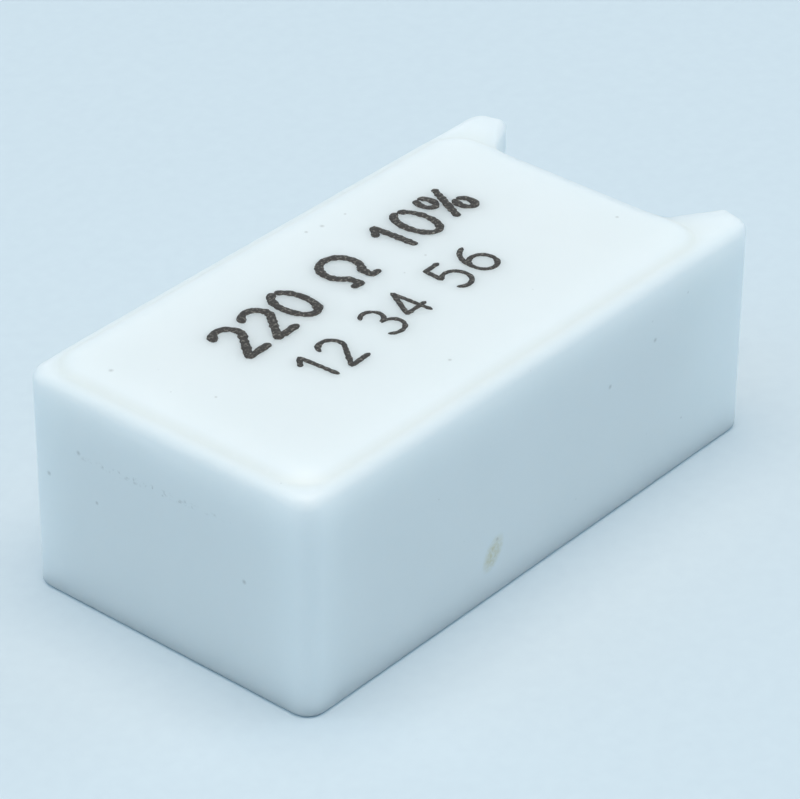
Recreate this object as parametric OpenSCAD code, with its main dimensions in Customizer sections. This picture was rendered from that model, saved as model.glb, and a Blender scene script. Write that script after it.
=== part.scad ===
// Radial cement power resistor: a wound element cast in cement in a pressed ceramic case.
// The case lies on its open back with its printed face up, as the loose part comes to rest.
// X runs along the length towards the leads, Y across the width, Z through the thickness.
// The origin is the centre of the back, so the back rim lies on Z = 0.

/* [Ceramic case] */
// Length from the closed end to the tips of the feet
case_l = 24.8; // [22:0.1:40]
// Width across the printed face
case_w = 13.1; // [12:0.1:18]
// Thickness from the back rim to the border of the printed face
case_h = 9; // [8:0.1:12]
// Thickness of the two long walls
side_wall = 1.5; // [1:0.1:2]
// Thickness of the closed end
end_wall = 1.5; // [1:0.1:3]
// Thickness of the wall that the leads pass through
lead_wall = 1.6; // [1:0.1:3]
// Thickness of the wall under the printed face
face_wall = 1.6; // [1:0.1:2.2]
// Radius of the four upright corners
corner_r = 0.8; // [0.5:0.05:1.2]
// Radius along the edge of the printed face
face_edge_r = 0.3; // [0.2:0.05:0.5]
// Radius along the edge of the back
back_edge_r = 0.2; // [0.1:0.05:0.4]
// Radius of the upright corners of the pocket
pocket_corner_r = 1; // [0.5:0.1:2]

/* [Printed panel] */
// Height of the panel above the border around it
panel_h = 0.22; // [0.1:0.01:0.4]
// Width of the border along the two long sides of the panel
panel_border = 0.36; // [0.3:0.01:1.5]
// Width of the border between the panel and the closed end
panel_end_border = 0.5; // [0.3:0.01:1.5]
// How far the foot of the panel reaches past the lead end, onto the feet
panel_overrun = 0.25; // [0:0.05:0.8]
// Width of the rounded shoulder of the panel
panel_shoulder = 0.8; // [0.3:0.05:1]
// Radius of the corners of the panel at its foot
panel_corner_r = 1.4; // [1.1:0.1:2.5]

/* [Feet] */
// How far the two feet stand out past the lead end
foot_l = 2.4; // [1:0.1:4]
// Width of the gap between the feet at its bottom
gap_w = 7.7; // [7:0.1:8]
// Angle at which each side of the gap opens outwards
gap_flare = 28; // [10:1:38]
// Fillet in the two corners at the bottom of the gap
gap_fillet_r = 1.2; // [0.3:0.1:1.6]
// Rounding of the inner corner at the tip of each foot
foot_tip_r = 0.4; // [0.1:0.05:0.6]

/* [Leads] */
// Diameter of the lead wire
lead_d = 0.8; // [0.6:0.05:1]
// Distance between the axes of the two leads
lead_pitch = 5; // [4:0.1:5.5]
// Length of the leads past the tips of the feet
lead_reach = 3.5; // [2:0.5:30]
// Radius of the two bends of the step that keys each lead in its slot, to the axis of the wire
step_bend_r = 0.7; // [0.6:0.05:0.9]
// Straight stretch between the two bends of the step
step_drop = 0.2; // [0.1:0.05:0.5]
// How far the step of each lead comes out past the face of the lead end
step_proud = 0.1; // [0.05:0.05:0.3]
// Radius of the two bends that turn the long lead back, to the axis of the wire
turn_bend_r = 1.2; // [0.8:0.1:1.9]
// Length of the long lead between its cap and its first bend
turn_stub = 0.5; // [0.3:0.1:1]
// Chamfer on the cut end of each lead
lead_chamfer = 0.15; // [0.05:0.05:0.25]
// Cement left on each side of a lead in its slot
slot_clearance = 0.2; // [0.1:0.05:0.5]

/* [Wound element] */
// Diameter of the core rod
core_d = 3.2; // [2.5:0.1:3.8]
// Thickness of the metal of the end caps
cap_t = 0.3; // [0.2:0.05:0.5]
// Length of each end cap
cap_l = 2.6; // [1.5:0.1:4]
// Diameter of the resistance wire
wire_d = 0.3; // [0.2:0.05:0.4]
// Number of turns of the resistance wire
wire_turns = 13; // [6:1:16]
// Cement left between the printed wall and the caps
face_cover = 0.7; // [0.2:0.1:1.2]
// Cement left between the lead wall and the nearest cap
lead_end_cover = 1; // [0.5:0.1:3]
// Cement left between the closed end and the turned lead
closed_end_cover = 0.7; // [0.3:0.1:3]

/* [Cement] */
// How far the cement lies below the back rim
cement_recess = 0.15; // [0.05:0.05:0.5]

/* [Hidden] */
$fn = 96;
// Margin by which a cutter runs past the faces that it cuts
spare = 1;
// How far an arc runs past the edges or faces that it ends at, so that it always meets them
arc_overlap = 0.001;
// How far neighbouring stretches of a wire lap inside it, so that they always join
wire_lap = 0.05;
// Clearance around the winding inside the cement
winding_gap = 0.01;
// Depth to which the panel block is rooted in the printed wall
panel_root = face_wall / 2;
// Rings in each turn of the resistance wire, and flats around the wire
wire_rings = 20;
wire_flats = 6;

// Ends of the case along X
closed_x = -case_l / 2;
tip_x = case_l / 2;
gap_x = tip_x - foot_l;

// Pocket of the case
pocket_x0 = closed_x + end_wall;
pocket_x1 = gap_x - lead_wall;
pocket_w = case_w - 2 * side_wall;
pocket_h = case_h - face_wall;

// Arc of the panel's shoulder, level at the top and running just under the border at its foot
shoulder_drop = panel_h + arc_overlap;
shoulder_r = (panel_shoulder * panel_shoulder + shoulder_drop * shoulder_drop) / (2 * shoulder_drop);

// Slots, and the ends of the leads' steps inside them and of the leads themselves
slot_w = lead_d + 2 * slot_clearance;
step_x = gap_x + step_proud - 2 * step_bend_r;
lead_x = tip_x + lead_reach;

// Wound element, in line with the short lead and one step above it
cap_d = core_d + 2 * cap_t;
core_y = -lead_pitch / 2;
core_z = pocket_h - face_cover - cap_d / 2;
cap_outer_x1 = pocket_x1 - lead_end_cover;
cap_outer_x0 = pocket_x0 + closed_end_cover + lead_d / 2 + turn_bend_r + turn_stub;
core_x0 = cap_outer_x0 + cap_t;
core_x1 = cap_outer_x1 - cap_t;
winding_x0 = cap_outer_x0 + cap_l;
winding_x1 = cap_outer_x1 - cap_l;
// The chords of the swept wire just clear the core
winding_r = (core_d + wire_d) / 2 / cos(180 / wire_rings);
winding_outer_r = winding_r + wire_d / 2;

// What lies outside a quarter disc, to cut from the corner of a profile
module corner_cut(r) {
    difference() {
        square(r + spare);
        circle(r);
    }
}

// Half of the upright section of the case, from its middle out to its rounded edges
module case_profile(half) {
    difference() {
        square([half, case_h]);
        translate([half - face_edge_r, case_h - face_edge_r]) corner_cut(face_edge_r);
        translate([half - back_edge_r, back_edge_r]) mirror([0, 1]) corner_cut(back_edge_r);
    }
}

// Half of the section of the panel, with its root in the printed wall and its round shoulder
module panel_profile(half) {
    translate([0, case_h - panel_root]) difference() {
        square([half, panel_root + panel_h]);
        translate([half - panel_shoulder, panel_root + panel_h - shoulder_r]) corner_cut(shoulder_r);
    }
}

// A block with rounded upright corners whose sides follow a profile: child 0 is the half profile of
// the corner posts, child 1 that of the length and child 2 that of the width
module profiled_block(l, w, r) {
    for (x = [-1, 1], y = [-1, 1])
        translate([x * (l / 2 - r), y * (w / 2 - r), 0]) rotate_extrude() children(0);
    for (side = [0, 1]) {
        mirror([side, 0, 0]) rotate([90, 0, 0]) linear_extrude(w - 2 * r, center = true) children(1);
        mirror([0, side, 0]) rotate([90, 0, 90]) linear_extrude(l - 2 * r, center = true) children(2);
    }
}

// What lies between a corner and the arc that rounds it: one edge of the corner runs along dir, and
// the other along Y, towards turn
module corner_wedge(corner, dir, turn, open_angle, r) {
    reach = r / tan(open_angle / 2);
    along = corner + reach * dir;
    across = corner + [0, turn * reach];
    centre = across + [sign(dir[0]) * r, 0];
    difference() {
        polygon([corner, along, centre, across]);
        translate(centre) circle(r + arc_overlap);
    }
}

// Plan of the gap between the feet, with filleted bottom corners and rounded tips
module gap_plan() {
    dir = [cos(gap_flare), sin(gap_flare)];
    low = [gap_x, gap_w / 2];
    tip = [tip_x, gap_w / 2 + foot_l * tan(gap_flare)];
    far = [tip_x + spare, gap_w / 2 + (foot_l + spare) * tan(gap_flare)];
    for (side = [0, 1]) mirror([0, side]) {
        difference() {
            polygon([[gap_x, 0], low, far, [far[0], 0]]);
            corner_wedge(low, dir, -1, 90 + gap_flare, gap_fillet_r);
        }
        corner_wedge(tip, -dir, 1, 90 + gap_flare, foot_tip_r);
    }
}

// The pocket with the two lead slots, from the height low upwards and out to past the lead end
module pocket(low, past) {
    l = pocket_x1 - pocket_x0;
    r = pocket_corner_r;
    translate([(pocket_x0 + pocket_x1) / 2, 0, low]) linear_extrude(pocket_h - low) {
        square([l, pocket_w - 2 * r], center = true);
        square([l - 2 * r, pocket_w], center = true);
        for (x = [-1, 1], y = [-1, 1])
            translate([x * (l / 2 - r), y * (pocket_w / 2 - r)]) circle(r);
    }
    for (y = [-1, 1])
        translate([pocket_x1 - pocket_corner_r, y * lead_pitch / 2, 0])
            rotate([90, 0, 90]) linear_extrude(gap_x - pocket_x1 + pocket_corner_r + past) {
                translate([-slot_w / 2, low]) square([slot_w, core_z - low]);
                translate([0, core_z]) circle(d = slot_w);
            }
}

// Round wire along a list of steps, from the origin towards +Z: [length] runs straight and
// [radius, angle, roll] bends towards the direction at roll about the wire. The child ends it.
module wire(d, steps, i = 0) {
    if (i > 0) translate([0, 0, -wire_lap]) cylinder(d = d - 2 * wire_lap, h = 2 * wire_lap);
    if (i == len(steps)) {
        children();
    } else if (len(steps[i]) == 1) {
        cylinder(d = d, h = steps[i][0]);
        translate([0, 0, steps[i][0]]) wire(d, steps, i + 1) children();
    } else {
        r = steps[i][0];
        angle = steps[i][1];
        rotate([0, 0, steps[i][2]]) {
            translate([r, 0, 0]) rotate([90, 0, 180])
                rotate_extrude(angle = angle) translate([r, 0]) circle(d = d);
            translate([r * (1 - cos(angle)), 0, r * sin(angle)]) rotate([0, angle, 0])
                wire(d, steps, i + 1) children();
        }
    }
}

// The chamfered cut end of a lead
module lead_end() {
    cylinder(d1 = lead_d, d2 = lead_d - 2 * lead_chamfer, h = lead_chamfer);
}

// How each lead goes on from its step to its cut end, with the step at roll about the wire
function step_to_end(roll) = [
    [step_bend_r, 90, roll],
    [step_drop],
    [step_bend_r, 90, 180],
    [lead_x - lead_chamfer - gap_x - step_proud]
];

module ceramic_case() {
    panel_x0 = closed_x + panel_end_border;
    panel_x1 = gap_x + panel_overrun;
    panel_l = panel_x1 - panel_x0;
    panel_w = case_w - 2 * panel_border;
    color("white") difference() {
        union() {
            profiled_block(case_l, case_w, corner_r) {
                case_profile(corner_r);
                case_profile(case_l / 2);
                case_profile(case_w / 2);
            }
            translate([(panel_x0 + panel_x1) / 2, 0, 0]) profiled_block(panel_l, panel_w, panel_corner_r) {
                panel_profile(panel_corner_r);
                panel_profile(panel_l / 2);
                panel_profile(panel_w / 2);
            }
        }
        translate([0, 0, -spare]) linear_extrude(case_h + panel_h + 2 * spare) gap_plan();
        pocket(-spare, spare);
    }
}

module cement_fill() {
    color("lightgray") difference() {
        pocket(cement_recess, 0);
        translate([winding_x0, core_y, core_z]) rotate([0, 90, 0])
            cylinder(r = winding_outer_r + winding_gap, h = winding_x1 - winding_x0);
        translate([cap_outer_x0, core_y, core_z]) rotate([0, 90, 0])
            cylinder(d = cap_d, h = cap_outer_x1 - cap_outer_x0);
        // The hollow laps into the leads, which start at the caps
        translate([cap_outer_x0 - wire_lap, core_y, core_z]) rotate([0, 90, 0])
            cylinder(d = lead_d - 2 * wire_lap, h = cap_outer_x1 - cap_outer_x0 + 2 * wire_lap);
        short_lead();
        long_lead();
    }
}

module core_rod() {
    color("ivory") translate([core_x0, core_y, core_z]) rotate([0, 90, 0])
        cylinder(d = core_d, h = core_x1 - core_x0);
}

module resistance_wire() {
    rings = wire_turns * wire_rings;
    pitch = (winding_x1 - winding_x0 - wire_d) / wire_turns;
    points = [for (i = [0 : rings], k = [0 : wire_flats - 1])
        let (turn = 360 * i / wire_rings, flat = 360 * k / wire_flats,
             r = winding_r + wire_d / 2 * cos(flat))
        [r * cos(turn), r * sin(turn), wire_d / 2 + pitch * i / wire_rings + wire_d / 2 * sin(flat)]];
    sides = [for (i = [0 : rings - 1], k = [0 : wire_flats - 1])
        let (a = i * wire_flats + k, b = i * wire_flats + (k + 1) % wire_flats)
        each [[a, b, a + wire_flats], [b, b + wire_flats, a + wire_flats]]];
    first = [for (k = [wire_flats - 1 : -1 : 0]) k];
    last = [for (k = [0 : wire_flats - 1]) rings * wire_flats + k];
    color("dimgray") translate([winding_x0, core_y, core_z]) rotate([0, 90, 0])
        polyhedron(points, concat([first], sides, [last]));
}

// A drawn cup that closes over one end of the core, its mouth towards +Z
module end_cap() {
    color("silver") difference() {
        cylinder(d = cap_d, h = cap_l);
        translate([0, 0, cap_t]) cylinder(d = core_d, h = cap_l);
    }
}

module lead_end_cap() {
    translate([cap_outer_x1, core_y, core_z]) rotate([0, -90, 0]) end_cap();
}

module closed_end_cap() {
    translate([cap_outer_x0, core_y, core_z]) rotate([0, 90, 0]) end_cap();
}

module short_lead() {
    color("silver") translate([cap_outer_x1, core_y, core_z]) rotate([0, 90, 0])
        wire(lead_d, concat([[step_x - cap_outer_x1]], step_to_end(0))) lead_end();
}

module long_lead() {
    turn_x = cap_outer_x0 - turn_stub;
    color("silver") translate([cap_outer_x0, core_y, core_z]) rotate([0, -90, 0])
        wire(lead_d, concat([
            [turn_stub],
            [turn_bend_r, 90, 90],
            [lead_pitch - 2 * turn_bend_r],
            [turn_bend_r, 90, 0],
            [step_x - turn_x]
        ], step_to_end(90))) lead_end();
}

ceramic_case();
cement_fill();
core_rod();
resistance_wire();
lead_end_cap();
closed_end_cap();
short_lead();
long_lead();
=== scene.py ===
import random
from math import atan2, ceil, cos, exp, hypot, pi, radians, sin, sqrt, tan

import bmesh
import bpy
from mathutils import Matrix, Vector, kdtree, noise
from mathutils.geometry import delaunay_2d_cdt


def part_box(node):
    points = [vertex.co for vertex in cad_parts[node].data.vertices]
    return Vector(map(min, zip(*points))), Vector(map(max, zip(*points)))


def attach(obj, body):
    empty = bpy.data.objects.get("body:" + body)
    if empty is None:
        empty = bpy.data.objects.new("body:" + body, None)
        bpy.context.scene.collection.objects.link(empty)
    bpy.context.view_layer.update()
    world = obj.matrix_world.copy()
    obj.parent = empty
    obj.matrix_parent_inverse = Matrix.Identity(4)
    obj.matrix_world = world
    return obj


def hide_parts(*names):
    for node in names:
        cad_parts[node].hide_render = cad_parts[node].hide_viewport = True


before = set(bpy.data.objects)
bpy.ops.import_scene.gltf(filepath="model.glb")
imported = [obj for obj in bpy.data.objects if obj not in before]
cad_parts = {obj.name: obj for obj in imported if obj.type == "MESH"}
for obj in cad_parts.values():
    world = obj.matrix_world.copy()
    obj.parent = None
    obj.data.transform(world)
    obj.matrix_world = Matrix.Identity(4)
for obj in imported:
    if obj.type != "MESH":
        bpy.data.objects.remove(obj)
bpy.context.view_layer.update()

# The core is a plain rod of steatite, extruded, cut to length and fired. It carries the winding and
# sits in the two end caps, out of sight in the cement. The solid's own shape is right for it.
MM = 0.001


def linear(code):
    """The linear colour of an sRGB hex code."""
    parts = [int(code[i:i + 2], 16) / 255 for i in (0, 2, 4)]
    return [c / 12.92 if c <= 0.04045 else ((c + 0.055) / 1.055) ** 2.4 for c in parts] + [1.0]


def add(tree, kind, feeds=(), **settings):
    """Adds a node with its settings; feeds gives its inputs a value or the output that they follow."""
    node = tree.nodes.new(kind)
    for name, value in settings.items():
        setattr(node, name, value)
    for socket, value in dict(feeds).items():
        if isinstance(value, bpy.types.NodeSocket):
            tree.links.new(value, node.inputs[socket])
        else:
            node.inputs[socket].default_value = value
    return node


def start_material(name, fixed):
    """A material with fixed values on its shader's sockets, its tree, its shader and its place in mm."""
    material = bpy.data.materials.new(name)
    material.use_nodes = True
    tree = material.node_tree
    shader = tree.nodes["Principled BSDF"]
    for socket, value in fixed.items():
        shader.inputs[socket].default_value = value
    corner = add(tree, "ShaderNodeTexCoord").outputs["Object"]
    place = add(tree, "ShaderNodeVectorMath", {0: corner, "Scale": 1 / MM}, operation="SCALE").outputs[0]
    return material, tree, shader, place


# Fired steatite: matt and faintly warm, with a grain of about 0.2 mm and clouds of 2 mm
steatite, tree, shader, place = start_material("fired_steatite", {"IOR": 1.6, "Roughness": 0.7})
grain = add(tree, "ShaderNodeTexNoise", {"Vector": place, "Scale": 1 / 0.2, "Detail": 3}).outputs["Fac"]
cloud = add(tree, "ShaderNodeTexNoise", {"Vector": place, "Scale": 1 / 2.0, "Detail": 2}).outputs["Fac"]
tone = add(tree, "ShaderNodeMix", {0: cloud, 6: linear("E6E1D3"), 7: linear("D8D1BF")}, data_type="RGBA")
bump = add(tree, "ShaderNodeBump", {"Height": grain, "Strength": 0.25, "Distance": 0.02 * MM})
tree.links.new(tone.outputs[2], shader.inputs["Base Color"])
tree.links.new(bump.outputs[0], shader.inputs["Normal"])
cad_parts["core_rod"].material_slots[0].material = steatite

# Two cups of tinned steel, deep-drawn and pressed over the ends of the core. The winding and the leads
# are welded to them. The solids' own shape is right, so they only get the drawn tin finish.
cap_tin, tree, shader, place = start_material("drawn_tinned_steel", {"Metallic": 1.0})
# Drawing leaves rings across the axis, about 0.06 mm apart, and the tin dulls in patches of 1 mm
rings = add(tree, "ShaderNodeMapping", {"Vector": place, "Scale": (1 / 0.06, 0.4, 0.4)}).outputs[0]
draw = add(tree, "ShaderNodeTexNoise", {"Vector": rings, "Scale": 1.0, "Detail": 2}).outputs["Fac"]
dull = add(tree, "ShaderNodeTexNoise", {"Vector": place, "Scale": 1 / 1.0, "Detail": 3}).outputs["Fac"]
tone = add(tree, "ShaderNodeMix", {0: dull, 6: linear("C9C8C4"), 7: linear("A9A7A1")}, data_type="RGBA")
gloss = add(tree, "ShaderNodeMapRange", {"Value": dull, "To Min": 0.28, "To Max": 0.46}).outputs[0]
bump = add(tree, "ShaderNodeBump", {"Height": draw, "Strength": 0.15, "Distance": 0.01 * MM})
tree.links.new(tone.outputs[2], shader.inputs["Base Color"])
tree.links.new(gloss, shader.inputs["Roughness"])
tree.links.new(bump.outputs[0], shader.inputs["Normal"])
for cap in ("lead_end_cap", "closed_end_cap"):
    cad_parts[cap].material_slots[0].material = cap_tin

# The resistance element: one length of nickel-chrome wire wound on the core in a single open layer,
# from one cap to the other. It follows a plain helix, so a tree winds it.
wire_d = 0.3
wire_turns = 13
wire_clearance = 0.01


def start_tree(name, sizes):
    """A geometry tree with an input of its own for each size, and its two ends."""
    tree = bpy.data.node_groups.new(name, "GeometryNodeTree")
    tree.interface.new_socket("Geometry", in_out="INPUT", socket_type="NodeSocketGeometry")
    tree.interface.new_socket("Geometry", in_out="OUTPUT", socket_type="NodeSocketGeometry")
    for size, kind in sizes.items():
        tree.interface.new_socket(size, in_out="INPUT", socket_type="NodeSocket" + kind)
    return tree, add(tree, "NodeGroupInput"), add(tree, "NodeGroupOutput")


def run_tree(name, tree, base, sizes):
    """A piece that the tree makes from the base mesh, kept as a plain mesh at the origin."""
    piece = bpy.data.objects.new(name, base)
    bpy.context.scene.collection.objects.link(piece)
    modifier = piece.modifiers.new("make", "NODES")
    modifier.node_group = tree
    for socket in tree.interface.items_tree:
        if socket.name in sizes:
            modifier[socket.identifier] = sizes[socket.name]
    made = piece.evaluated_get(bpy.context.evaluated_depsgraph_get())
    mesh = bpy.data.meshes.new_from_object(made)
    piece.modifiers.clear()
    piece.data = mesh
    mesh.set_sharp_from_angle(angle=radians(30))
    return piece


# Nickel-chrome darkened by the firing: a brownish grey metal with a scale that varies along the turns
alloy, tree, shader, place = start_material("oxidised_nickel_chrome", {"Metallic": 1.0})
scale = add(tree, "ShaderNodeTexNoise", {"Vector": place, "Scale": 1 / 0.8, "Detail": 4}).outputs["Fac"]
tone = add(tree, "ShaderNodeMix", {0: scale, 6: linear("6E6760"), 7: linear("4A443E")}, data_type="RGBA")
gloss = add(tree, "ShaderNodeMapRange", {"Value": scale, "To Min": 0.35, "To Max": 0.6}).outputs[0]
tree.links.new(tone.outputs[2], shader.inputs["Base Color"])
tree.links.new(gloss, shader.inputs["Roughness"])

winding_tree, given, made = start_tree("open_winding", {
    "Turns": "Float", "Helix Radius": "Float", "Helix Length": "Float", "Wire Diameter": "Float",
    "Start": "Vector", "Finish": "Material"})
helix = add(winding_tree, "GeometryNodeCurveSpiral", {
    "Resolution": 36, "Rotations": given.outputs["Turns"], "Start Radius": given.outputs["Helix Radius"],
    "End Radius": given.outputs["Helix Radius"], "Height": given.outputs["Helix Length"]})
laid = add(winding_tree, "GeometryNodeTransform", {
    "Geometry": helix.outputs[0], "Translation": given.outputs["Start"], "Rotation": (0, pi / 2, 0)})
thin = add(winding_tree, "ShaderNodeMath", {
    0: given.outputs["Wire Diameter"], 1: 0.5}, operation="MULTIPLY")
section = add(winding_tree, "GeometryNodeCurvePrimitiveCircle", {
    "Resolution": 10, "Radius": thin.outputs[0]})
tube = add(winding_tree, "GeometryNodeCurveToMesh", {
    "Curve": laid.outputs[0], "Profile Curve": section.outputs[0], "Fill Caps": True})
whole = add(winding_tree, "GeometryNodeRealizeInstances", {0: tube.outputs[0]})
finish = add(winding_tree, "GeometryNodeSetMaterial", {
    0: whole.outputs[0], "Material": given.outputs["Finish"]})
winding_tree.links.new(finish.outputs[0], made.inputs[0])

low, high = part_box("resistance_wire")
core_low, core_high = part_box("core_rod")
helix_r = (core_high.y - core_low.y + wire_d * MM) / 2 + wire_clearance * MM
axis = (core_low + core_high) / 2
winding = run_tree("wound_wire", winding_tree, bpy.data.meshes.new("wound_wire"), {
    "Turns": float(wire_turns), "Helix Radius": helix_r, "Helix Length": high.x - low.x - wire_d * MM,
    "Wire Diameter": wire_d * MM, "Start": (low.x + wire_d / 2 * MM, axis.y, axis.z), "Finish": alloy})
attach(winding, "root")
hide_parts("resistance_wire")

# Two leads of tinned copper wire, welded end-on to the caps. Each is bent in a tool: a step keys it in
# its slot of the case, and the long one first turns back along the element. Their ends are sheared off.
lead_d = 0.8
step_bend_r = 0.7
turn_bend_r = 1.2
step_proud = 0.1
cut_bevel = 0.15

# Tinned copper: bright grey with drawing lines along the wire and duller patches; copper at the cut end
tinned, tree, shader, place = start_material("drawn_tinned_copper", {"Metallic": 1.0})
lines = add(tree, "ShaderNodeMapping", {"Vector": place, "Scale": (0.15, 1 / 0.05, 1 / 0.05)}).outputs[0]
draw = add(tree, "ShaderNodeTexNoise", {"Vector": lines, "Scale": 1.0, "Detail": 2}).outputs["Fac"]
dull = add(tree, "ShaderNodeTexNoise", {"Vector": place, "Scale": 1 / 0.7, "Detail": 4}).outputs["Fac"]
tin = add(tree, "ShaderNodeMix", {0: dull, 6: linear("D6D5D1"), 7: linear("B1AFA9")}, data_type="RGBA")
along = add(tree, "ShaderNodeSeparateXYZ", {0: place}).outputs["X"]
lead_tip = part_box("short_lead")[1].x / MM
bare = add(tree, "ShaderNodeMapRange", {
    "Value": along, "From Min": lead_tip - 0.1, "From Max": lead_tip - 0.02}).outputs[0]
metal = add(tree, "ShaderNodeMix", {0: bare, 6: tin.outputs[2], 7: linear("C08A6A")}, data_type="RGBA")
gloss = add(tree, "ShaderNodeMapRange", {"Value": dull, "To Min": 0.24, "To Max": 0.44}).outputs[0]
bump = add(tree, "ShaderNodeBump", {"Height": draw, "Strength": 0.2, "Distance": 0.01 * MM})
tree.links.new(metal.outputs[2], shader.inputs["Base Color"])
tree.links.new(gloss, shader.inputs["Roughness"])
tree.links.new(bump.outputs[0], shader.inputs["Normal"])

lead_tree, given, made = start_tree("bent_lead", {"Lead Diameter": "Float", "Finish": "Material"})
line = add(lead_tree, "GeometryNodeMeshToCurve", {0: given.outputs["Geometry"]})
bend_r = add(lead_tree, "GeometryNodeInputNamedAttribute", {"Name": "bend_r"}, data_type="FLOAT")
bent = add(lead_tree, "GeometryNodeFilletCurve", {
    "Curve": line.outputs[0], "Count": 14, "Radius": bend_r.outputs[0]}, mode="POLY")
taper = add(lead_tree, "GeometryNodeInputNamedAttribute", {"Name": "taper"}, data_type="FLOAT")
thin = add(lead_tree, "ShaderNodeMath", {
    0: given.outputs["Lead Diameter"], 1: 0.5}, operation="MULTIPLY")
section = add(lead_tree, "GeometryNodeCurvePrimitiveCircle", {
    "Resolution": 40, "Radius": thin.outputs[0]})
tube = add(lead_tree, "GeometryNodeCurveToMesh", {
    "Curve": bent.outputs[0], "Profile Curve": section.outputs[0],
    "Scale": taper.outputs[0], "Fill Caps": True})
whole = add(lead_tree, "GeometryNodeRealizeInstances", {0: tube.outputs[0]})
finish = add(lead_tree, "GeometryNodeSetMaterial", {
    0: whole.outputs[0], "Material": given.outputs["Finish"]})
lead_tree.links.new(finish.outputs[0], made.inputs[0])


def bend_lead(name, node, route):
    """A lead along a route of (place, bend radius) in mm, with a bevelled end, standing for its solid."""
    route = route[:-1] + [(route[-1][0] - Vector((cut_bevel, 0, 0)), 0.0), route[-1]]
    line = bpy.data.meshes.new(name)
    line.from_pydata([p * MM for p, r in route], [(i, i + 1) for i in range(len(route) - 1)], [])
    tapers = [1.0] * (len(route) - 1) + [1 - 2 * cut_bevel / lead_d]
    line.attributes.new("bend_r", "FLOAT", "POINT").data.foreach_set("value", [r * MM for p, r in route])
    line.attributes.new("taper", "FLOAT", "POINT").data.foreach_set("value", tapers)
    lead = run_tree(name, lead_tree, line, {"Lead Diameter": lead_d * MM, "Finish": tinned})
    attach(lead, "root")
    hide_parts(node)


low, high = (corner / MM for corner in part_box("short_lead"))
near_y = (low.y + high.y) / 2
lead_z = low.z + lead_d / 2
core_z = high.z - lead_d / 2
lead_face_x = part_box("cement_fill")[1].x / MM
step_x = lead_face_x + step_proud - step_bend_r
bend_lead("near_lead", "short_lead", [
    (Vector((low.x, near_y, core_z)), 0.0),
    (Vector((step_x, near_y, core_z)), step_bend_r),
    (Vector((step_x, near_y, lead_z)), step_bend_r),
    (Vector((high.x, near_y, lead_z)), 0.0)])
turn_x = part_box("long_lead")[0].x / MM + lead_d / 2
bend_lead("turned_lead", "long_lead", [
    (Vector((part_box("closed_end_cap")[0].x / MM, near_y, core_z)), 0.0),
    (Vector((turn_x, near_y, core_z)), turn_bend_r),
    (Vector((turn_x, -near_y, core_z)), turn_bend_r),
    (Vector((step_x, -near_y, core_z)), step_bend_r),
    (Vector((step_x, -near_y, lead_z)), step_bend_r),
    (Vector((high.x, -near_y, lead_z)), 0.0)])

# The case is pressed from steatite powder and fired, one piece: a tray with its mouth at the back, a
# raised panel on its face, two flared feet at the lead end and a slot for each lead in the wall there.
low, high = (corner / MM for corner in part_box("ceramic_case"))
panel_h = 0.3
side_border = 0.46
end_border = 0.5
panel_overrun = 0.25
panel_shoulder = 0.95
panel_corner_r = 1.4
soft_foot = 0.03
arc_overrun = 0.2
border_z = high.z - panel_h
corner_r = 0.8
tip_corner_r = 0.4
gap_fillet_r = 1.2
rim_r = 0.5
tip_rim_r = 0.35
gap_rim_r = 0.1
back_edge_r = 0.2
gap_w = 7.7
gap_flare = radians(28)
gap_x = lead_face_x
tip_y = gap_w / 2 + (high.x - gap_x) * tan(gap_flare)
# Corners of the plan, anticlockwise: place, radius, and the rounding of the face's edge there
case_plan = [
    (low.x, low.y, corner_r, rim_r), (high.x, low.y, corner_r, rim_r),
    (high.x, -tip_y, tip_corner_r, tip_rim_r),
    (gap_x, -gap_w / 2, gap_fillet_r, gap_rim_r), (gap_x, gap_w / 2, gap_fillet_r, gap_rim_r),
    (high.x, tip_y, tip_corner_r, tip_rim_r),
    (high.x, high.y, corner_r, rim_r), (low.x, high.y, corner_r, rim_r)]


def rounded_plan(corners, spacing):
    """An anticlockwise plan with round corners, as points with an outward normal and an edge rounding."""
    bends = []
    for i, (x, y, radius, rim) in enumerate(corners):
        corner = Vector((x, y))
        come = (corner - Vector(corners[i - 1][:2])).normalized()
        go = (Vector(corners[(i + 1) % len(corners)][:2]) - corner).normalized()
        turn = atan2(come.cross(go), come.dot(go))
        side = 1 if turn > 0 else -1
        centre = corner - come * radius * tan(abs(turn) / 2) + side * radius * Vector((-come.y, come.x))
        count = ceil(abs(turn) / radians(7))
        start = atan2(-come.x, come.y)
        angles = [start + turn * k / count for k in range(count + 1)]
        normals = [Vector((cos(a), sin(a))) for a in angles]
        bends.append([(centre + side * radius * normal, normal, rim) for normal in normals])
    points = []
    for i, bend in enumerate(bends):
        points += bend
        (here, normal, rim), (there, _, next_rim) = bend[-1], bends[(i + 1) % len(bends)][0]
        count = ceil((there - here).length / spacing)
        for k in range(1, count):
            t = k / count
            eased = t * t * (3 - 2 * t)
            points.append((here.lerp(there, t), normal, rim + (next_rim - rim) * eased))
    return points


def in_round_box(x, y, x0, x1, half, r):
    """How far a place lies inside a rectangle with round corners; outside it is negative."""
    across = abs(x - (x0 + x1) / 2) - ((x1 - x0) / 2 - r)
    up = abs(y) - (half - r)
    return r - hypot(max(across, 0), max(up, 0)) - min(max(across, up), 0)


def in_panel(x, y):
    """How far a place lies inside the foot of the panel."""
    x0, x1 = low.x + end_border, gap_x + panel_overrun
    return in_round_box(x, y, x0, x1, high.y - side_border, panel_corner_r)


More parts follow.
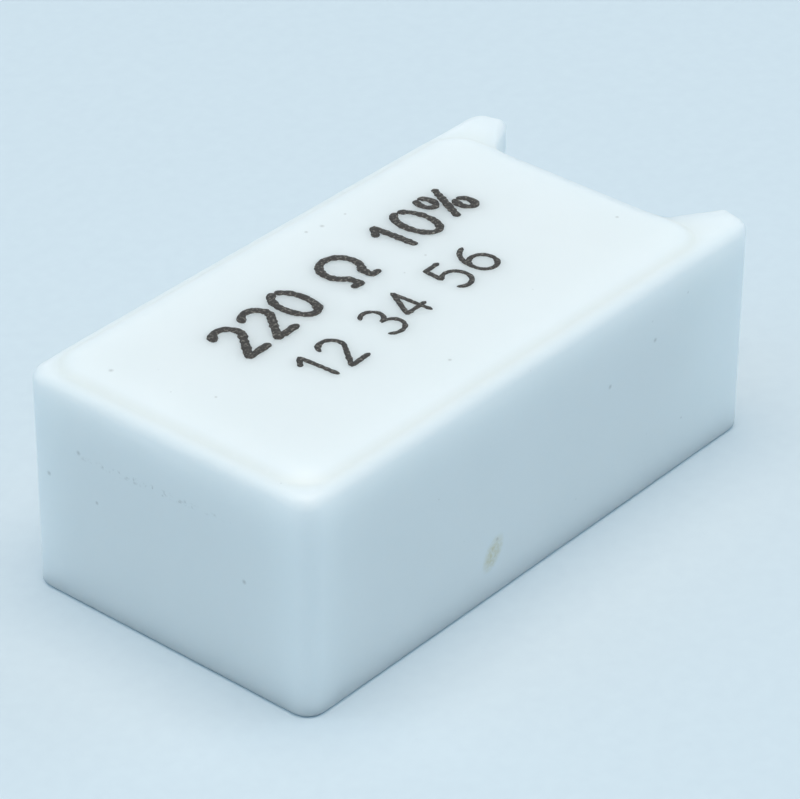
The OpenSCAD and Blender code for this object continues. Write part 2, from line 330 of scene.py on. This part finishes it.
def face_z(x, y):
    """Height of the face: the border, the panel's round shoulder with a soft foot, and its flat top."""
    arc_r = (panel_shoulder ** 2 + panel_h ** 2) / (2 * panel_h)
    run = min(max(panel_shoulder - in_panel(x, y), 0), panel_shoulder + arc_overrun)
    rise = panel_h - arc_r + sqrt(arc_r ** 2 - run ** 2)
    return border_z + (rise + sqrt(rise ** 2 + soft_foot ** 2)) / 2


def press_wave(p):
    """The slight unevenness of a fired surface, in mm: broad waves of 5 mm and finer ones of 1.3 mm."""
    return 0.012 * noise.noise(p / 5) + 0.004 * noise.noise(p / 1.3)


def piece_from(name, mesh_source):
    """A piece at the origin from mesh code, in mm."""
    mesh = bpy.data.meshes.new(name)
    bmesh.ops.scale(mesh_source, vec=(MM, MM, MM), verts=mesh_source.verts)
    mesh_source.to_mesh(mesh)
    mesh_source.free()
    piece = bpy.data.objects.new(name, mesh)
    bpy.context.scene.collection.objects.link(piece)
    return piece


def cut(piece, operation, *tools):
    """Cuts a piece by tools, which are used up, and leaves a plain mesh."""
    for tool in tools:
        modifier = piece.modifiers.new("cut", "BOOLEAN")
        modifier.operation = operation
        modifier.solver = "EXACT"
        modifier.object = tool
    made = piece.evaluated_get(bpy.context.evaluated_depsgraph_get())
    mesh = bpy.data.meshes.new_from_object(made)
    piece.modifiers.clear()
    piece.data = mesh
    for tool in tools:
        bpy.data.objects.remove(tool)


wall_step = 0.5
plan = rounded_plan(case_plan, wall_step)
body = bmesh.new()
rings = []
# Quarter round at the back, the wall, and quarter round up to the face
stations = [("back", k * pi / 10) for k in range(6)] + [("wall", k / 10) for k in range(1, 10)]
stations += [("face", k * pi / 20) for k in range(11)]
for part, t in stations:
    ring = []
    for point, normal, rim in plan:
        back = min(back_edge_r, rim)
        inner = point - normal * rim
        top = face_z(inner.x, inner.y)
        if part == "back":
            inset, z = back * (1 - sin(t)), back * (1 - cos(t))
        elif part == "wall":
            inset, z = 0.0, back + (top - rim - back) * t
        else:
            inset, z = rim * (1 - cos(t)), top - rim * (1 - sin(t))
        at = point - normal * inset
        at = at + normal * press_wave(Vector((at.x, at.y, z)))
        ring.append(body.verts.new((at.x, at.y, z)))
    rings.append(ring)
for below, above in zip(rings, rings[1:]):
    for k in range(len(plan)):
        n = (k + 1) % len(plan)
        body.faces.new((below[k], below[n], above[n], above[k]))
body.faces.new(reversed(rings[0]))

# The face inside the last ring: rows of points along the panel's shoulder and a grid on its top
shoulder_rows = (-0.1, 0.0, 0.1, 0.2, 0.3, 0.4, 0.5, 0.6, 0.7, 0.8, 0.95)
row_step = 0.3
grid_step = 0.7
grid_inside = 1.1
ring_clearance = 0.06
flat = [Vector(v.co[:2]) for v in rings[-1]]
edges = [(k, (k + 1) % len(flat)) for k in range(len(flat))]
nearest = kdtree.KDTree(len(plan))
for k, (point, normal, rim) in enumerate(plan):
    nearest.insert((point.x, point.y, 0), k)
nearest.balance()
rows = []
for inside in shoulder_rows:
    half, r = high.y - side_border - inside, panel_corner_r - inside
    x0, x1 = low.x + end_border + inside, gap_x + panel_overrun - inside
    corners = [(x0, -half, r, 0), (x1, -half, r, 0), (x1, half, r, 0), (x0, half, r, 0)]
    rows += [point for point, normal, rim in rounded_plan(corners, row_step)]
grid = [Vector((low.x + grid_step * i, grid_step * j)) for i in range(40) for j in range(-9, 10)]
rows += [point for point in grid if in_panel(point.x, point.y) > grid_inside]
for point in rows:
    _, k, _ = nearest.find((point.x, point.y, 0))
    edge, normal, rim = plan[k]
    if (edge - point).dot(normal) > rim + ring_clearance:
        flat.append(point)
spots, _, faces, sources, _, _ = delaunay_2d_cdt(flat, edges, [], 1, 1e-7)
tops = []
for spot, source in zip(spots, sources):
    if source and source[0] < len(plan):
        tops.append(rings[-1][source[0]])
    else:
        z = face_z(spot.x, spot.y)
        tops.append(body.verts.new((spot.x, spot.y, z + press_wave(Vector((spot.x, spot.y, z))))))
for face in faces:
    body.faces.new([tops[k] for k in face])
bmesh.ops.recalc_face_normals(body, faces=body.faces)
case = piece_from("pressed_case", body)

# The mouth of the tray, with a worn lip, and the two slots of the leads, open at the back
pocket_low, pocket_high = (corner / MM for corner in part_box("cement_fill"))
lead_wall = 1.6
pocket_corner_r = 1.0
slot_w = 1.2
lip = 0.1
cut_overrun = 0.5
slot_overlap = 0.4
pocket_x1 = gap_x - lead_wall
half = pocket_high.y
pocket_corners = [(pocket_low.x, -half, pocket_corner_r, 0), (pocket_x1, -half, pocket_corner_r, 0),
                  (pocket_x1, half, pocket_corner_r, 0), (pocket_low.x, half, pocket_corner_r, 0)]
pocket_plan = rounded_plan(pocket_corners, 1.0)
lip_round = [(lip * (1 - cos(t)), lip * (1 - sin(t))) for t in (0, pi / 6, pi / 3, pi / 2)]
mouth = bmesh.new()
rings = []
for z, grown in [(-cut_overrun, lip)] + lip_round + [(pocket_high.z, 0)]:
    rings.append([mouth.verts.new((*(point + normal * grown), z)) for point, normal, _ in pocket_plan])
for below, above in zip(rings, rings[1:]):
    for k in range(len(pocket_plan)):
        n = (k + 1) % len(pocket_plan)
        mouth.faces.new((below[k], below[n], above[n], above[k]))
mouth.faces.new(reversed(rings[0]))
mouth.faces.new(rings[-1])
tools = [piece_from("mouth", mouth)]
for y in (near_y, -near_y):
    slot = bmesh.new()
    angles = [pi * k / 16 for k in range(17)]
    arch = [(y + slot_w / 2 * cos(a), core_z + slot_w / 2 * sin(a)) for a in angles]
    outline = [(y - slot_w / 2, -cut_overrun), (y + slot_w / 2, -cut_overrun)] + arch
    reach = (pocket_x1 - slot_overlap, gap_x + cut_overrun)
    ends = [[slot.verts.new((x, *corner)) for corner in outline] for x in reach]
    for k in range(len(outline)):
        n = (k + 1) % len(outline)
        slot.faces.new((ends[0][k], ends[0][n], ends[1][n], ends[1][k]))
    slot.faces.new(reversed(ends[0]))
    slot.faces.new(ends[1])
    bmesh.ops.recalc_face_normals(slot, faces=slot.faces)
    tools.append(piece_from("lead_slot", slot))
cut(case, "DIFFERENCE", *tools)
case.data.shade_smooth()
case.data.set_sharp_from_angle(angle=radians(32))
# The hollow along the foot of the panel holds a little dust and lies in shade; the finish reads how near a
# point is to it and paints a dust tint with painted shade there
dust_and_shade_line = 0.05
dust_and_shade_reach = 0.35
dust_and_shade_depth = 0.1
foot = case.data.attributes.new("panel_foot", "FLOAT", "POINT")
for vertex, value in zip(case.data.vertices, foot.data):
    x, y, z = vertex.co / MM
    near = max(0, 1 - abs(in_panel(x, y) - dust_and_shade_line) / dust_and_shade_reach)
    value.value = near if z > border_z - dust_and_shade_depth else 0
even = case.modifiers.new("even", "WEIGHTED_NORMAL")
even.keep_sharp = True
mesh = bpy.data.meshes.new_from_object(case.evaluated_get(bpy.context.evaluated_depsgraph_get()))
case.modifiers.clear()
case.data = mesh

# White steatite with a satin fired skin: light goes a few millimetres into it, so its edges glow.
# Fine grain of 0.1 mm, unevenness of 1 mm, stray brown specks of the clay and marks of handling.
porcelain, tree, shader, place = start_material("white_fired_steatite", {
    "IOR": 1.58, "Subsurface Weight": 1.0, "Subsurface Radius": (1.0, 1.0, 1.0),
    "Subsurface Scale": 2.4 * MM})
cloud = add(tree, "ShaderNodeTexNoise", {"Vector": place, "Scale": 1 / 5.0, "Detail": 3}).outputs["Fac"]
skin = add(tree, "ShaderNodeMix", {0: cloud, 6: linear("F0F2F2"), 7: linear("E9ECEB")}, data_type="RGBA")
foot = add(tree, "ShaderNodeAttribute", attribute_name="panel_foot").outputs["Fac"]
# A darker, yellowish band along the panel's foot: partly a dust tint, partly painted shade in the hollow
dust_and_shade = add(tree, "ShaderNodeMath", {0: foot, 1: 0.32}, operation="MULTIPLY").outputs[0]
skin = add(tree, "ShaderNodeMix", {0: dust_and_shade, 6: skin.outputs[2], 7: linear("E2DED2")}, data_type="RGBA")

# Stray specks: one cell of 0.7 mm in five has a speck up to 0.15 mm across
cells = add(tree, "ShaderNodeTexVoronoi", {"Vector": place, "Scale": 1 / 0.7})
chosen = add(tree, "ShaderNodeSeparateColor", {0: cells.outputs["Color"]}).outputs[0]
chosen = add(tree, "ShaderNodeMapRange", {
    "Value": chosen, "From Min": 0.8, "From Max": 1.0, "To Min": 0.001, "To Max": 0.11})
stray = add(tree, "ShaderNodeMapRange", {
    "Value": cells.outputs["Distance"], "From Max": chosen.outputs[0], "To Min": 0.4, "To Max": 0})
# Specks that can be told apart on the panel, the closed end and one long side: place and radius in mm
specks = [(x, y, high.z, r) for x, y, r in (
    (1.23, 4.77, 0.05), (2.44, 4.71, 0.03), (0.53, 4.92, 0.04), (-10.9, 3.76, 0.05),
    (-9.8, -0.1, 0.03), (-2.8, -4.6, 0.04), (8.76, -2.96, 0.04))]
specks += [(low.x, y, z, r) for y, z, r in (
    (4.0, 6.48, 0.05), (5.5, 5.0, 0.05), (3.2, 4.76, 0.04), (-3.64, 4.57, 0.05))]
specks += [(x, low.y, z, r) for x, z, r in ((6.5, 6.44, 0.05), (3.89, 5.7, 0.05), (-2.42, 2.4, 0.04))]
speck_fade = 2.4
marks = stray.outputs[0]
for x, y, z, r in specks:
    away = add(tree, "ShaderNodeVectorMath", {0: place, 1: (x, y, z)}, operation="DISTANCE")
    speck = add(tree, "ShaderNodeMapRange", {
        "Value": away.outputs["Value"], "From Min": 0, "From Max": r * speck_fade,
        "To Min": 0.42, "To Max": 0})
    marks = add(tree, "ShaderNodeMath", {0: marks, 1: speck.outputs[0]}, operation="MAXIMUM").outputs[0]
# A broken line of rubbed specks across the closed end
band = add(tree, "ShaderNodeMapping", {
    "Vector": place, "Location": (low.x, 0.6, 6.52), "Rotation": (radians(-3), 0, 0),
    "Scale": (0.5, 4.2, 0.16)}, vector_type="TEXTURE").outputs[0]
band = add(tree, "ShaderNodeTexGradient", {0: band}, gradient_type="SPHERICAL").outputs["Fac"]
grit = add(tree, "ShaderNodeTexNoise", {"Vector": place, "Scale": 1 / 0.16, "Detail": 2}).outputs["Fac"]
rub = add(tree, "ShaderNodeMapRange", {
    "Value": grit, "From Min": 0.54, "From Max": 0.76, "To Max": 0.7}).outputs[0]
rub = add(tree, "ShaderNodeMath", {0: band, 1: rub}, operation="MULTIPLY").outputs[0]
marks = add(tree, "ShaderNodeMath", {0: marks, 1: rub}, operation="MAXIMUM").outputs[0]
skin = add(tree, "ShaderNodeMix", {0: marks, 6: skin.outputs[2], 7: linear("7F7B74")}, data_type="RGBA")
# A yellow-brown smudge low on one long side
smear = add(tree, "ShaderNodeMapping", {
    "Vector": place, "Location": (-2.63, low.y, 1.9), "Rotation": (0, radians(-55), 0),
    "Scale": (0.84, 0.6, 0.5)}, vector_type="TEXTURE").outputs[0]
smear = add(tree, "ShaderNodeTexGradient", {0: smear}, gradient_type="SPHERICAL").outputs["Fac"]
smear = add(tree, "ShaderNodeMapRange", {"Value": smear, "From Max": 0.6, "To Max": 0.7}).outputs[0]
patchy = add(tree, "ShaderNodeMapRange", {
    "Value": grit, "From Min": 0.35, "From Max": 0.65, "To Min": 0.4}).outputs[0]
smear = add(tree, "ShaderNodeMath", {0: smear, 1: patchy}, operation="MULTIPLY").outputs[0]
skin = add(tree, "ShaderNodeMix", {0: smear, 6: skin.outputs[2], 7: linear("CFC49A")}, data_type="RGBA")

peel = add(tree, "ShaderNodeTexNoise", {"Vector": place, "Scale": 1 / 0.9, "Detail": 2}).outputs["Fac"]
fine = add(tree, "ShaderNodeTexNoise", {"Vector": place, "Scale": 1 / 0.1, "Detail": 2}).outputs["Fac"]
gloss = add(tree, "ShaderNodeMapRange", {"Value": peel, "To Min": 0.42, "To Max": 0.54}).outputs[0]
swell = add(tree, "ShaderNodeBump", {"Height": peel, "Strength": 0.12, "Distance": 0.03 * MM})
bump = add(tree, "ShaderNodeBump", {
    "Height": fine, "Strength": 0.12, "Distance": 0.008 * MM, "Normal": swell.outputs[0]})
tree.links.new(skin.outputs[2], shader.inputs["Base Color"])
tree.links.new(gloss, shader.inputs["Roughness"])
tree.links.new(bump.outputs[0], shader.inputs["Normal"])
case.data.materials.append(porcelain)
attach(case, "root")
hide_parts("ceramic_case")

# Silica cement is poured round the element from the back, struck off a little below the rim and baked.
# It creeps up the walls and is left sandy, with burst pores. Its inner hollows are those of the solid.
skin_z = 0.004
wall_z = 0.01
strike_depth = 0.09
creep_reach = 0.5
pore_count = 60
random.seed(7)
pores = [(random.uniform(pocket_low.x, gap_x), random.uniform(-half, half), random.uniform(0.12, 0.4))
         for _ in range(pore_count)]


def cement_z(x, y):
    """Height of the struck surface in mm: deeper away from the walls, uneven and pitted by the pores."""
    inside = in_round_box(x, y, pocket_low.x, pocket_x1, half, pocket_corner_r)
    z = pocket_low.z + wall_z + strike_depth * (1 - exp(-max(inside, 0) / creep_reach))
    p = Vector((x, y, 0))
    z += 0.03 * noise.noise(p / 2.5) + 0.025 * noise.noise(p / 0.6)
    for pore_x, pore_y, r in pores:
        away = hypot(x - pore_x, y - pore_y) / r
        if away < 1:
            z += 0.5 * r * (1 - away * away) ** 2
    return max(z, pocket_low.z + skin_z)


slab_step = 0.15
slab_margin = 0.6
count_x = ceil((gap_x - pocket_low.x + 2 * slab_margin) / slab_step)
count_y = ceil((2 * half + 2 * slab_margin) / slab_step)
columns = [pocket_low.x - slab_margin + i * slab_step for i in range(count_x + 1)]
lines = [-half - slab_margin + j * slab_step for j in range(count_y + 1)]
slab = bmesh.new()
sheet = [[slab.verts.new((x, y, cement_z(x, y))) for y in lines] for x in columns]
for i in range(count_x):
    for j in range(count_y):
        slab.faces.new((sheet[i][j], sheet[i][j + 1], sheet[i + 1][j + 1], sheet[i + 1][j]))
rim = [e for e in slab.edges if e.is_boundary]
raised = bmesh.ops.extrude_edge_only(slab, edges=rim)["geom"]
for vertex in raised:
    if isinstance(vertex, bmesh.types.BMVert):
        vertex.co.z = pocket_high.z + slab_margin
bmesh.ops.contextual_create(slab, geom=[e for e in slab.edges if e.is_boundary])
bmesh.ops.recalc_face_normals(slab, faces=slab.faces)
struck = piece_from("struck_surface", slab)
fill = bmesh.new()
fill.from_mesh(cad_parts["cement_fill"].data)
bmesh.ops.remove_doubles(fill, verts=fill.verts, dist=0.5 * MM * MM)
bmesh.ops.scale(fill, vec=(1 / MM,) * 3, verts=fill.verts)
cement = piece_from("poured_cement", fill)
cut(cement, "INTERSECT", struck)
cement.data.shade_smooth()
cement.data.set_sharp_from_angle(angle=radians(35))

# Baked silica cement: grey-white and matt, sand grains of 0.2 mm in several tones, and pin pores darkened
# with painted shade
mortar, tree, shader, place = start_material("baked_silica_cement", {"IOR": 1.5, "Roughness": 0.92})
cloud = add(tree, "ShaderNodeTexNoise", {"Vector": place, "Scale": 1 / 2.5, "Detail": 3}).outputs["Fac"]
sand = add(tree, "ShaderNodeTexVoronoi", {"Vector": place, "Scale": 1 / 0.2})
shade = add(tree, "ShaderNodeSeparateColor", {0: sand.outputs["Color"]}).outputs[0]
paste = add(tree, "ShaderNodeMix", {0: cloud, 6: linear("DEDBD3"), 7: linear("C9C5BB")}, data_type="RGBA")
strength = add(tree, "ShaderNodeMapRange", {"Value": shade, "From Min": 0.4, "To Max": 0.45}).outputs[0]
paste = add(tree, "ShaderNodeMix", {
    0: strength, 6: paste.outputs[2], 7: linear("A39D91")}, data_type="RGBA")
pits = add(tree, "ShaderNodeTexNoise", {"Vector": place, "Scale": 1 / 0.22, "Detail": 2}).outputs["Fac"]
# The pin pores get a darker colour: painted shade inside the pits
pin = add(tree, "ShaderNodeMapRange", {"Value": pits, "From Min": 0.68, "From Max": 0.74}).outputs[0]
paste = add(tree, "ShaderNodeMix", {0: pin, 6: paste.outputs[2], 7: linear("857E72")}, data_type="RGBA")
rough = add(tree, "ShaderNodeBump", {
    "Height": sand.outputs["Distance"], "Strength": 0.5, "Distance": 0.06 * MM})
bump = add(tree, "ShaderNodeBump", {
    "Height": pits, "Strength": 0.5, "Distance": -0.08 * MM, "Normal": rough.outputs[0]})
tree.links.new(paste.outputs[2], shader.inputs["Base Color"])
tree.links.new(bump.outputs[0], shader.inputs["Normal"])
cement.data.materials.clear()
cement.data.materials.append(mortar)
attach(cement, "root")
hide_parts("cement_fill")

# The print is stamped on the panel in brown-black ink and fired on: two rows of plain figures, the first
# in heavy strokes and the second in thin ones. The ink is a raised film with ragged edges and thin spots.
row_turn = radians(3.2)
heavy_h = 1.95
heavy_half = 0.18
heavy_start = (-7.2, 0.75)
thin_h = 1.75
thin_half = 0.115
thin_start = (-6.6, -2.35)
sign_gap = 0.42
word_space = 0.55


def bow(x, y, rx, ry, start, end):
    """Points of an arc, with angles in degrees anticlockwise from the right."""
    count = ceil(abs(end - start) / 12)
    angles = [radians(start + (end - start) * k / count) for k in range(count + 1)]
    return [(x + rx * cos(a), y + ry * sin(a)) for a in angles]


# Strokes of each figure in a cell that is 1 high, and the width of the cell
figures = {
    "0": ([bow(0.3, 0.5, 0.28, 0.5, 80, 440)], 0.6),
    "1": ([[(0.1, 0.76), (0.36, 1.0), (0.36, 0.0)]], 0.5),
    "2": ([bow(0.3, 0.72, 0.27, 0.28, 165, -28) + [(0.02, 0.0), (0.6, 0.0)]], 0.6),
    "3": ([bow(0.28, 0.76, 0.24, 0.24, 150, -88) + bow(0.28, 0.27, 0.29, 0.26, 84, -155)], 0.6),
    "4": ([[(0.44, 0.0), (0.44, 1.0), (0.0, 0.3), (0.62, 0.3)]], 0.64),
    "5": ([[(0.56, 1.0), (0.12, 1.0), (0.07, 0.56)] + bow(0.28, 0.33, 0.3, 0.32, 118, -145)], 0.62),
    "6": ([[(0.5, 0.98)] + bow(0.5, 0.36, 0.48, 0.6, 108, 178) + bow(0.3, 0.3, 0.28, 0.3, 185, 520)], 0.62),
    "Ω": ([[(0.0, 0.0), (0.24, 0.0)] + bow(0.42, 0.6, 0.38, 0.4, 238, -58)
           + [(0.6, 0.0), (0.84, 0.0)]], 0.84),
    "%": ([bow(0.16, 0.78, 0.14, 0.2, 90, 450), [(0.12, 0.0), (0.68, 1.0)],
           bow(0.64, 0.22, 0.14, 0.2, 90, 450)], 0.8),
}


def set_row(text, start, height, half_stroke, strokes):
    """Adds the strokes of one row, with their half width, from its start along the turned baseline."""
    along = 0.0
    for sign in text:
        if sign == " ":
            along += word_space * height
            continue
        lines, width = figures[sign]
        for line in lines:
            spots = [Vector((along + x * height, y * height)) for x, y in line]
            spots = [Matrix.Rotation(row_turn, 2) @ spot + Vector(start) for spot in spots]
            strokes.append((spots, half_stroke))
        along += width * height + sign_gap


strokes = []
set_row("220 Ω 10%", heavy_start, heavy_h, heavy_half, strokes)
set_row("12 34 56", thin_start, thin_h, thin_half, strokes)

ink, tree, shader, place = start_material("fired_stamp_ink", {"IOR": 1.5})
# Thin spots of 0.1 mm let the ceramic through, mostly as grey mottling
thick = add(tree, "ShaderNodeTexNoise", {"Vector": place, "Scale": 1 / 0.11, "Detail": 3}).outputs["Fac"]
tone = add(tree, "ShaderNodeMapRange", {"Value": thick, "From Min": 0.45, "From Max": 0.75}).outputs[0]
tone = add(tree, "ShaderNodeMix", {0: tone, 6: linear("1B1917"), 7: linear("47433F")}, data_type="RGBA")
worn = add(tree, "ShaderNodeMapRange", {"Value": thick, "From Min": 0.55, "From Max": 0.75}).outputs[0]
tone = add(tree, "ShaderNodeMix", {0: worn, 6: tone.outputs[2], 7: linear("88837B")}, data_type="RGBA")
gloss = add(tree, "ShaderNodeMapRange", {"Value": thick, "To Min": 0.45, "To Max": 0.75}).outputs[0]
tree.links.new(tone.outputs[2], shader.inputs["Base Color"])
tree.links.new(gloss, shader.inputs["Roughness"])

stamp_tree, given, made = start_tree("stamped_strokes", {
    "Film": "Float", "Ragged": "Float", "Point Spacing": "Float", "Finish": "Material"})
line = add(stamp_tree, "GeometryNodeMeshToCurve", {0: given.outputs["Geometry"]})
dense = add(stamp_tree, "GeometryNodeResampleCurve", {
    0: line.outputs[0], "Length": given.outputs["Point Spacing"]}, mode="LENGTH")
position = add(stamp_tree, "GeometryNodeInputPosition")
jitter = add(stamp_tree, "ShaderNodeTexNoise", {
    0: position.outputs[0], "Scale": 1 / (0.35 * MM), "Detail": 2})
centred = add(stamp_tree, "ShaderNodeVectorMath", {
    0: jitter.outputs["Color"], 1: (0.5, 0.5, 0.5)}, operation="SUBTRACT")
level = add(stamp_tree, "ShaderNodeVectorMath", {
    0: centred.outputs[0], 1: (1, 1, 0)}, operation="MULTIPLY")
ragged = add(stamp_tree, "ShaderNodeVectorMath", {
    0: level.outputs[0], "Scale": given.outputs["Ragged"]}, operation="SCALE")
shaky = add(stamp_tree, "GeometryNodeSetPosition", {0: dense.outputs[0], "Offset": ragged.outputs[0]})
upright = add(stamp_tree, "GeometryNodeSetCurveNormal", {0: shaky.outputs[0]}, mode="Z_UP")
# The stroke swells and thins along its length, and closes in a round at its two ends
half_stroke = add(stamp_tree, "GeometryNodeInputNamedAttribute", {
    "Name": "half_stroke"}, data_type="FLOAT")
swell = add(stamp_tree, "ShaderNodeTexNoise", {
    0: position.outputs[0], "Scale": 1 / (0.22 * MM), "Detail": 3})
swell = add(stamp_tree, "ShaderNodeMapRange", {
    0: swell.outputs["Fac"], "From Min": 0.25, "From Max": 0.75, "To Min": 0.72, "To Max": 1.2})
here = add(stamp_tree, "GeometryNodeSplineParameter")
full = add(stamp_tree, "GeometryNodeSplineLength")
left = add(stamp_tree, "ShaderNodeMath", {
    0: full.outputs["Length"], 1: here.outputs["Length"]}, operation="SUBTRACT")
end = add(stamp_tree, "ShaderNodeMath", {
    0: here.outputs["Length"], 1: left.outputs[0]}, operation="MINIMUM")
near_end = add(stamp_tree, "ShaderNodeMapRange", {
    0: end.outputs[0], "From Max": 0.12 * MM, "To Min": 0.1, "To Max": 1.0})
round_end = add(stamp_tree, "ShaderNodeMath", {0: near_end.outputs[0], 1: 0.5}, operation="POWER")
width = add(stamp_tree, "ShaderNodeMath", {
    0: swell.outputs[0], 1: round_end.outputs[0]}, operation="MULTIPLY")
width = add(stamp_tree, "ShaderNodeMath", {
    0: width.outputs[0], 1: half_stroke.outputs[0]}, operation="MULTIPLY")
disc = add(stamp_tree, "GeometryNodeCurvePrimitiveCircle", {"Resolution": 10, "Radius": 1.0})
tube = add(stamp_tree, "GeometryNodeCurveToMesh", {
    "Curve": upright.outputs[0], "Profile Curve": disc.outputs[0],
    "Scale": width.outputs[0], "Fill Caps": True})
# Pressed flat to the film's thickness about the panel's face
at = add(stamp_tree, "ShaderNodeSeparateXYZ", {0: position.outputs[0]})
face = add(stamp_tree, "ShaderNodeMath", {0: at.outputs["Z"], 1: high.z * MM}, operation="SUBTRACT")
film = add(stamp_tree, "ShaderNodeMath", {
    0: face.outputs[0], 1: given.outputs["Film"]}, operation="MULTIPLY")
film = add(stamp_tree, "ShaderNodeMath", {0: film.outputs[0], 1: high.z * MM}, operation="ADD")
flat = add(stamp_tree, "ShaderNodeCombineXYZ", {
    0: at.outputs["X"], 1: at.outputs["Y"], 2: film.outputs[0]})
pressed = add(stamp_tree, "GeometryNodeSetPosition", {0: tube.outputs[0], "Position": flat.outputs[0]})
joined = add(stamp_tree, "GeometryNodeMeshBoolean", {
    "Mesh 2": pressed.outputs[0], "Self Intersection": True}, operation="UNION", solver="EXACT")
whole = add(stamp_tree, "GeometryNodeRealizeInstances", {0: joined.outputs[0]})
finish = add(stamp_tree, "GeometryNodeSetMaterial", {
    0: whole.outputs[0], "Material": given.outputs["Finish"]})
stamp_tree.links.new(finish.outputs[0], made.inputs[0])

spots, links, widths = [], [], []
for line, half_width in strokes:
    links += [(len(spots) + k, len(spots) + k + 1) for k in range(len(line) - 1)]
    spots += [(spot.x * MM, spot.y * MM, high.z * MM) for spot in line]
    widths += [half_width * MM] * len(line)
paths = bpy.data.meshes.new("stamped_figures")
paths.from_pydata(spots, links, [])
paths.attributes.new("half_stroke", "FLOAT", "POINT").data.foreach_set("value", widths)
figures_print = run_tree("stamped_figures", stamp_tree, paths, {
    "Film": 0.2, "Ragged": 0.03 * MM, "Point Spacing": 0.05 * MM, "Finish": ink})
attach(figures_print, "root")

# The part lies on a plain pale table under one soft lamp, with a weaker one on each side, in a room that
# fills it from all round with a bluish light. The table is card, matt and with a faint fibre.
table_half = 3.0
table_corners = [(x * table_half, y * table_half, 0) for x, y in ((-1, -1), (1, -1), (1, 1), (-1, 1))]
table_mesh = bpy.data.meshes.new("table")
table_mesh.from_pydata(table_corners, [], [(0, 1, 2, 3)])
table = bpy.data.objects.new("table", table_mesh)
bpy.context.scene.collection.objects.link(table)
card, tree, shader, place = start_material("pale_card", {"IOR": 1.45, "Roughness": 0.8})
fibre = add(tree, "ShaderNodeTexNoise", {"Vector": place, "Scale": 1 / 0.6, "Detail": 3}).outputs["Fac"]
tone = add(tree, "ShaderNodeMix", {0: fibre, 6: linear("D2DBE2"), 7: linear("D8E1E7")}, data_type="RGBA")
tree.links.new(tone.outputs[2], shader.inputs["Base Color"])
table_mesh.materials.append(card)

# Place, diameter, power and tint of each lamp
softboxes = (
    ("overhead_softbox", (-0.01, -0.01, 0.5), 0.45, 1.82, (1.0, 0.88, 0.75)),
    ("left_softbox", (-0.29, 0.28, 0.3), 0.36, 0.36, (0.7, 0.89, 1.0)),
    ("right_softbox", (0.32, -0.28, 0.29), 0.36, 0.36, (0.7, 0.89, 1.0)))
for name, at, size, energy, tint in softboxes:
    lamp = bpy.data.lights.new(name, "AREA")
    lamp.shape = "DISK"
    lamp.size = size
    lamp.energy = energy
    lamp.color = tint
    softbox = bpy.data.objects.new(name, lamp)
    softbox.location = at
    softbox.rotation_euler = Vector(at).to_track_quat("Z", "Y").to_euler()
    bpy.context.scene.collection.objects.link(softbox)

room = bpy.data.worlds.new("room")
room.use_nodes = True
tree = room.node_tree
fill_light = tree.nodes["Background"]
fill_light.inputs["Color"].default_value = linear("ADDFFC")
fill_light.inputs["Strength"].default_value = 0.5
seen = add(tree, "ShaderNodeBackground", {"Color": linear("E8EFF4"), "Strength": 0.95})
path = add(tree, "ShaderNodeLightPath")
direct = add(tree, "ShaderNodeMath", {
    0: path.outputs["Is Camera Ray"], 1: path.outputs["Is Glossy Ray"]}, operation="ADD", use_clamp=True)
direct = add(tree, "ShaderNodeMath", {
    0: direct.outputs[0], 1: path.outputs["Is Transmission Ray"]}, operation="ADD", use_clamp=True)
mixed = add(tree, "ShaderNodeMixShader", {
    0: direct.outputs[0], 1: fill_light.outputs[0], 2: seen.outputs[0]})
tree.links.new(mixed.outputs[0], tree.nodes["World Output"].inputs["Surface"])
bpy.context.scene.world = room

# The camera stands where the photograph was taken from, with a long lens that looks down on one corner.
eye = Vector((-92.44, -77.71, 81.70)) * MM
ahead = Vector((0.64455, 0.54173, -0.53952)).normalized()
right = Vector((0.64591, -0.76339, 0.00514)).normalized()
up = right.cross(ahead)
camera_data = bpy.data.cameras.new("camera")
camera_data.sensor_width = 36
camera_data.lens = 178.41
camera_data.clip_start = 0.001
camera = bpy.data.objects.new("camera", camera_data)
camera.matrix_world = Matrix.Translation(eye) @ Matrix((right, up, -ahead)).transposed().to_4x4()
bpy.context.scene.collection.objects.link(camera)
bpy.context.scene.camera = camera
bpy.context.scene.view_settings.view_transform = "Standard"
